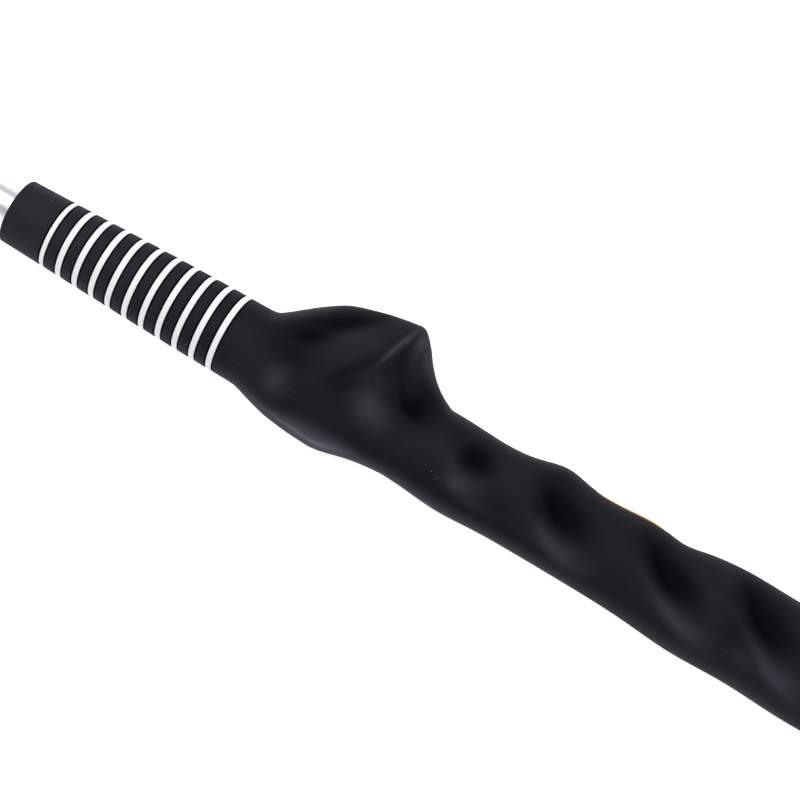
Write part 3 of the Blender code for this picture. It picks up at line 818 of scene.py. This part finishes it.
def ring_bands(finish):
    """White rings, whose edges waver a little."""
    for number, (centre, half) in enumerate(ring_places(), start=1):
        wave = RING_WAVE * np.sin(np.radians(SKIN_ANGLES * 3 + number * 77.0))
        loops = []
        edge_shades = []
        for offset, height, edge_shade in band_profile(half, RING_DEPTH):
            wobble = wave if abs(offset) > half - 0.2 else 0.0
            loops.append(surface_loop(centre + offset + wobble, height))
            edge_shades.append(np.full(SKIN_SIDES, edge_shade))
        points = np.stack(loops)
        faces = grid_faces(len(loops), SKIN_SIDES, True, True)
        piece = mesh_piece(f"ring_band_{number:02d}", points, faces, finish, sharp_degrees=60.0)
        point_values(piece, "edge_shade", np.stack(edge_shades))
        add_piece(piece, f"ring_line_{number:02d}")


def chevron_band(finish):
    """White chevron: a crowned strip along its path, with rounded ends and a mitred apex.

    Its end loops keep a fiftieth of the width, so that no face there shrinks to nothing.
    """
    half = CHEVRON_WIDTH / 2
    profile = band_profile(half, CHEVRON_DEPTH)
    shares = np.sin(np.linspace(-1.0, 1.0, 121) * math.pi / 2)
    arc = math.radians(CHEVRON_HALF_ANGLE) * CHEVRON_SHEET_RADIUS
    loops = []
    edge_shades = []
    for share in shares:
        distance, angle = chevron_path(share)
        rate = CHEVRON_BEND * math.exp(-CHEVRON_BEND * abs(share)) / CHEVRON_FULLNESS
        slope = CHEVRON_LENGTH * rate / arc
        from_end = (1.0 - abs(share)) * arc * math.hypot(1.0, slope)
        rounding = math.sqrt(max(1.0 - (1.0 - min(from_end / half, 1.0)) ** 2, 0.0004))
        stretch = math.hypot(1.0, slope) * rounding
        line = []
        for offset, height, edge_shade in profile:
            x = distance + offset * stretch
            sunk = height if rounding > 0.3 else min(height, -0.1)
            line.append(place(x, grip_radius(x, angle) + sunk, angle))
            # Painted shade also darkens the rounded ends, where the strip sinks into its groove
            edge_shades.append(max(edge_shade, 1.0 - rounding))
        loops.append(np.stack(line))
    points = np.stack(loops)
    rows, columns = points.shape[:2]
    faces = grid_faces(rows, columns, False, True)
    end_middles = [points[0].mean(axis=0), points[-1].mean(axis=0)]
    points = np.concatenate([points.reshape(-1, 3), end_middles])
    first_middle = rows * columns
    last_row = first_middle - columns
    for k in range(columns):
        beside = (k + 1) % columns
        faces.append([first_middle, k, beside])
        faces.append([first_middle + 1, last_row + beside, last_row + k])
    piece = mesh_piece("chevron_band", points, faces, finish, sharp_degrees=60.0)
    point_values(piece, "edge_shade", edge_shades + [1.0, 1.0])
    add_piece(piece, "chevron_mark")


def side_bar(finish):
    """Plain orange bar with rounded corners on the flange side, its end rows a hair wider than a point."""
    rows, columns = 73, 37
    half_length = MARK_LENGTH / 2
    u, v = np.meshgrid(np.linspace(-1.0, 1.0, rows), np.linspace(-1.0, 1.0, columns), indexing="ij")
    along = u * half_length
    over = np.clip((np.abs(along) - (half_length - MARK_CORNER)) / MARK_CORNER, 0.0, 1.0)
    reach = MARK_HALF_WIDTH - MARK_CORNER + MARK_CORNER * np.sqrt(1.0 - over ** 2 * 0.998)
    across = v * reach
    distance = MARK_CENTRE + along
    angle = MARK_MIDDLE_ANGLE + np.degrees(across / MARK_SHEET_RADIUS)
    edge = np.clip(-mark_distance(distance, angle), 0.0, None)
    height = 0.02 - 0.12 * np.exp(-edge / 0.12)
    top = place(distance, grip_radius(distance, angle) + height, angle)
    floor = place(distance, grip_radius(distance, angle) - MARK_DEPTH, angle)
    count = rows * columns
    faces = grid_faces(rows, columns, False, False)
    rim = [(i, 0) for i in range(rows)]
    rim += [(rows - 1, j) for j in range(1, columns)]
    rim += [(i, columns - 1) for i in range(rows - 2, -1, -1)]
    rim += [(0, j) for j in range(columns - 2, 0, -1)]
    rim = [i * columns + j for i, j in rim]
    floor_faces = [[count + corner for corner in reversed(face)] for face in faces]
    walls = [[near, after, count + after, count + near] for near, after in zip(rim, rim[1:] + rim[:1])]
    points = np.concatenate([top.reshape(-1, 3), floor.reshape(-1, 3)])
    piece = mesh_piece("side_bar", points, faces + floor_faces + walls, finish, sharp_degrees=60.0)
    # Painted shade near the bar's edge, where it sinks into its recess
    edge_shade = np.exp(-edge / 0.18).ravel()
    point_values(piece, "edge_shade", np.concatenate([edge_shade, edge_shade]))
    add_piece(piece, "side_mark")


def butt_cap(finish):
    """End cap that carries on the grip's surface, with two grooves in its face around the vent."""
    joint_radius = grip_radius(CAP_THICKNESS, SKIN_ANGLES)
    loops = [skin_loop(CAP_SPIGOT_END, VENT_RADIUS), skin_loop(CAP_SPIGOT_END, CAP_SPIGOT_RADIUS),
             skin_loop(CAP_THICKNESS, CAP_SPIGOT_RADIUS), skin_loop(CAP_THICKNESS, joint_radius - 0.35),
             skin_loop(CAP_THICKNESS - 0.12, joint_radius - 0.08),
             skin_loop(CAP_THICKNESS - 0.4, joint_radius)]
    for step in range(9):
        turn = math.radians(90.0 * step / 8)
        distance = CAP_EDGE - CAP_EDGE * math.sin(turn)
        loops.append(surface_loop(distance, -CAP_EDGE * (1.0 - math.cos(turn))))
    face_radius = grip_radius(0.0, SKIN_ANGLES) - CAP_EDGE
    for share, depth in CAP_FACE_GROOVES:
        loops.append(skin_loop(depth, face_radius * share))
    loops += [skin_loop(0.0, VENT_RADIUS + 0.5), skin_loop(0.15, VENT_RADIUS + 0.15),
              skin_loop(0.5, VENT_RADIUS)]
    points = np.stack(loops)
    faces = grid_faces(len(loops), SKIN_SIDES, True, True)
    piece = mesh_piece("end_cap", points, faces, finish, sharp_degrees=50.0)
    add_piece(piece, "butt_cap")


# ---------------------------------------------------------------- shaft and head

def shaft_tube(finish):
    """Open steel tube with eased rims."""
    start, end = ends("shaft")
    bore = SHAFT_RADIUS - SHAFT_WALL
    corners = [(end, SHAFT_RADIUS, 0.2), (start, SHAFT_RADIUS, 0.2),
               (start, bore, 0.2), (end, bore, 0.2)]
    piece = turned_piece("shaft_tube", filleted(corners), 96, finish)
    add_piece(piece, "shaft")


def head_grooves(start, end):
    """Corners of the shallow grooves around the sleeve, from its far end to the shaft's."""
    steps = [HEAD_GROOVE_PITCH * i for i in range(HEAD_GROOVES)]
    centres = [end - HEAD_GROOVE_FROM_FAR_END - step for step in steps]
    centres += [start + HEAD_GROOVE_FROM_SHAFT_END + step for step in reversed(steps)]
    half_floor = HEAD_GROOVE_HALF_WIDTH * 0.6
    floor_radius = HEAD_RADIUS - HEAD_GROOVE_DEPTH
    corners = []
    for centre in centres:
        corners.append((centre + HEAD_GROOVE_HALF_WIDTH, HEAD_RADIUS, 0.25))
        corners.append((centre + half_floor, floor_radius, 0.25))
        corners.append((centre - half_floor, floor_radius, 0.25))
        corners.append((centre - HEAD_GROOVE_HALF_WIDTH, HEAD_RADIUS, 0.25))
    return corners


def head_sleeve(finish):
    """Rubber sleeve of the head, with grooves near each end and the core's cavity inside."""
    start, end = ends("head_sleeve")
    corners = [(end, HEAD_RADIUS, HEAD_FAR_ROUNDING)]
    corners += head_grooves(start, end)
    corners += [(start, HEAD_RADIUS, HEAD_SHAFT_ROUNDING), (start, SLEEVE_BORE, 0.3),
                (CORE_CAVITY_START, SLEEVE_BORE, 0.0), (CORE_CAVITY_START, CORE_CAVITY, 0.0),
                (CORE_CAVITY_END, CORE_CAVITY, 0.0), (CORE_CAVITY_END, SLEEVE_OPENING, 0.0),
                (end, SLEEVE_OPENING, 0.35)]
    piece = turned_piece("head_cover", filleted(corners), 144, finish)
    add_piece(piece, "head_sleeve")


def head_end_plug(finish):
    """Plug of the head's end, with a raised rim and a dished face."""
    start, end = ends("head_end_plug")
    radius = SLEEVE_OPENING - 0.15
    corners = [(end, radius, 0.5), (start, radius, 0.4), (start, 1e-4, 0.0), (end - 1.2, 1e-4, 0.0),
               (end - 0.9, radius - 2.6, 1.2), (end, radius - 1.6, 0.4)]
    piece = turned_piece("end_plug", filleted(corners), 96, finish)
    add_piece(piece, "head_end_plug")


def ferrule_cone(finish):
    """Tapered collar with trim lines near its thick end."""
    start, end = ends("ferrule")
    inner = SHAFT_RADIUS + 0.12
    outline = [(end, inner), (end, FERRULE_RADIUS - 0.45), (end - 0.15, FERRULE_RADIUS - 0.12),
               (end - 0.45, FERRULE_RADIUS)]
    for setback in FERRULE_TRIM_LINES:
        centre = end - setback
        outline += [(centre + 0.35, FERRULE_RADIUS), (centre + 0.2, FERRULE_RADIUS - 0.18),
                    (centre, FERRULE_RADIUS - 0.25), (centre - 0.2, FERRULE_RADIUS - 0.18),
                    (centre - 0.35, FERRULE_RADIUS)]
    taper_start = end - FERRULE_TAPER_START
    for i in range(25):
        share = i / 24
        swell = math.cos(share * math.pi / 2) ** 0.8
        radius = inner + 0.22 + (FERRULE_RADIUS - inner - 0.22) * swell
        outline.append((taper_start - (taper_start - start) * share, radius))
    outline.append((start, inner))
    piece = turned_piece("ferrule_cone", outline, 120, finish)
    add_piece(piece, "ferrule")


# ---------------------------------------------------------------- stage

# Floor: half its size in metres, and its own light, which keeps the shadow on it faint
FLOOR_HALF_SIZE = 12.0
FLOOR_GLOW = 0.88

# World light: strength near the horizon and overhead, and the heights between which it changes
HORIZON_STRENGTH = 0.4
ZENITH_STRENGTH = 0.05
HORIZON_HEIGHT = 0.1
ZENITH_HEIGHT = 0.6

# Square key light: its direction goes right, up and back in the camera's view, sizes in metres
KEY_DIRECTION = (-0.1, 0.52, 1.0)
KEY_DISTANCE = 1.4
KEY_SIZE = 1.6
KEY_WATTS = 25.0

# Camera: it looks at the finger side from a little behind the bulb, with the butt end nearer.
# The foot is a point of the axis, and the view's middle lies right and up of it by the offsets.
VIEW_FOOT = 149.1
VIEW_DISTANCE = 750.0
VIEW_TILT = math.radians(8.0)
VIEW_SLOPE = math.radians(30.0)
VIEW_OFFSET_RIGHT = 3.9
VIEW_OFFSET_UP = 6.75
VIEW_LENS = 120.55


def floor_plane():
    """Plain pale floor."""
    n = Nodes("pale_floor")
    tone = n.mix(n.ramp(n.noise(60.0, 2.0), 0.3, 0.7), (0.5, 0.5, 0.5), (0.52, 0.52, 0.52))
    n.principled(Base_Color=tone, Roughness=0.9, Specular_IOR_Level=0.1,
                 Emission_Color=(1.0, 1.0, 1.06, 1.0), Emission_Strength=FLOOR_GLOW)
    mesh = bpy.data.meshes.new("floor")
    build = bmesh.new()
    bmesh.ops.create_grid(build, x_segments=8, y_segments=8, size=FLOOR_HALF_SIZE)
    build.to_mesh(mesh)
    build.free()
    mesh.materials.append(n.material)
    floor = bpy.data.objects.new("floor", mesh)
    bpy.context.scene.collection.objects.link(floor)


def view_axes():
    """Right, up and backward directions of the camera."""
    to_butt = Vector((-1.0, 0.0, 0.0))
    finger_side = Vector((0.0, math.cos(math.pi / 2 + ROLL), math.sin(math.pi / 2 + ROLL)))
    flange_side = Vector((0.0, math.cos(math.pi + ROLL), math.sin(math.pi + ROLL)))
    along = math.cos(VIEW_TILT) * to_butt - math.sin(VIEW_TILT) * finger_side
    right = math.cos(VIEW_SLOPE) * along + math.sin(VIEW_SLOPE) * flange_side
    up = -math.sin(VIEW_SLOPE) * along + math.cos(VIEW_SLOPE) * flange_side
    back = math.sin(VIEW_TILT) * to_butt + math.cos(VIEW_TILT) * finger_side
    return right, up, back


def view_target():
    """Point of the stick's axis that the camera and the key light are placed about."""
    return Vector((BUTT_X + VIEW_FOOT * MM, AXIS_Y, AXIS_Z))


def camera():
    """Long lens at the view's distance, with no shift and no depth of field."""
    right, up, back = view_axes()
    lens = bpy.data.cameras.new("camera")
    lens.sensor_width = 36.0
    lens.lens = VIEW_LENS
    lens.clip_start = 0.01
    eye = bpy.data.objects.new("camera", lens)
    bpy.context.scene.collection.objects.link(eye)
    turned = Matrix((right, up, back)).transposed().to_4x4()
    turned.translation = (view_target() + VIEW_OFFSET_RIGHT * MM * right + VIEW_OFFSET_UP * MM * up
                          + VIEW_DISTANCE * MM * back)
    eye.matrix_world = turned
    bpy.context.scene.camera = eye


def key_light():
    """Large soft light behind the camera, towards the top of its view."""
    lamp = bpy.data.lights.new("key", "AREA")
    lamp.size = KEY_SIZE
    lamp.energy = KEY_WATTS
    light = bpy.data.objects.new("key", lamp)
    bpy.context.scene.collection.objects.link(light)
    right, up, back = view_axes()
    direction = KEY_DIRECTION[0] * right + KEY_DIRECTION[1] * up + KEY_DIRECTION[2] * back
    direction.normalize()
    light.location = view_target() + direction * KEY_DISTANCE
    light.rotation_euler = (-direction).to_track_quat("-Z", "Y").to_euler()


def studio_world():
    """Pale surroundings, brightest low down, and colours shown as they are."""
    world = bpy.data.worlds.new("studio")
    bpy.context.scene.world = world
    world.use_nodes = True
    tree = world.node_tree
    background = tree.nodes["Background"]
    background.inputs["Color"].default_value = (0.95, 0.965, 1.0, 1.0)
    split = tree.nodes.new("ShaderNodeSeparateXYZ")
    tree.links.new(tree.nodes.new("ShaderNodeTexCoord").outputs["Generated"], split.inputs["Vector"])
    height = tree.nodes.new("ShaderNodeMapRange")
    height.interpolation_type = "SMOOTHSTEP"
    height.inputs["From Min"].default_value = HORIZON_HEIGHT
    height.inputs["From Max"].default_value = ZENITH_HEIGHT
    height.inputs["To Min"].default_value = HORIZON_STRENGTH
    height.inputs["To Max"].default_value = ZENITH_STRENGTH
    tree.links.new(split.outputs["Z"], height.inputs["Value"])
    tree.links.new(height.outputs["Result"], background.inputs["Strength"])
    bpy.context.scene.view_settings.view_transform = "Standard"


# ---------------------------------------------------------------- assembly

def main():
    """Make every piece and its finish, then the stage."""
    grip_rubber = rubber("grip_rubber", tone=(0.0108, 0.0106, 0.0142), roughness=0.62,
                         grain_mm=0.28, grain_depth_mm=0.02)
    head_rubber = rubber("head_rubber", tone=(0.0105, 0.0104, 0.0132), roughness=0.64,
                         grain_mm=0.4, grain_depth_mm=0.04)
    cap_rubber = rubber("cap_rubber", tone=(0.0096, 0.0095, 0.0122), roughness=0.5,
                        grain_mm=0.3, grain_depth_mm=0.02)
    white = white_filling()

    grip_skin(grip_rubber)
    ring_bands(white)
    chevron_band(white)
    side_bar(orange_filling())
    butt_cap(cap_rubber)
    shaft_tube(plated_steel())
    ferrule_cone(gloss_plastic())
    head_sleeve(head_rubber)
    head_end_plug(cap_rubber)

    inner_finishes = {
        "grip_tape": crepe_tape(),
        "head_core": machined_steel("dark_steel", (0.3, 0.3, 0.31), 0.42),
        "tip_insert": machined_steel("insert_steel", (0.36, 0.36, 0.37), 0.38),
        "head_screw": machined_steel("zinc_screw", (0.6, 0.61, 0.62), 0.34),
        "lock_washer": machined_steel("zinc_washer", (0.58, 0.59, 0.6), 0.36),
    }
    for node, finish in inner_finishes.items():
        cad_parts[node].data.materials.clear()
        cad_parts[node].data.materials.append(finish)

    floor_plane()
    studio_world()
    key_light()
    camera()


main()
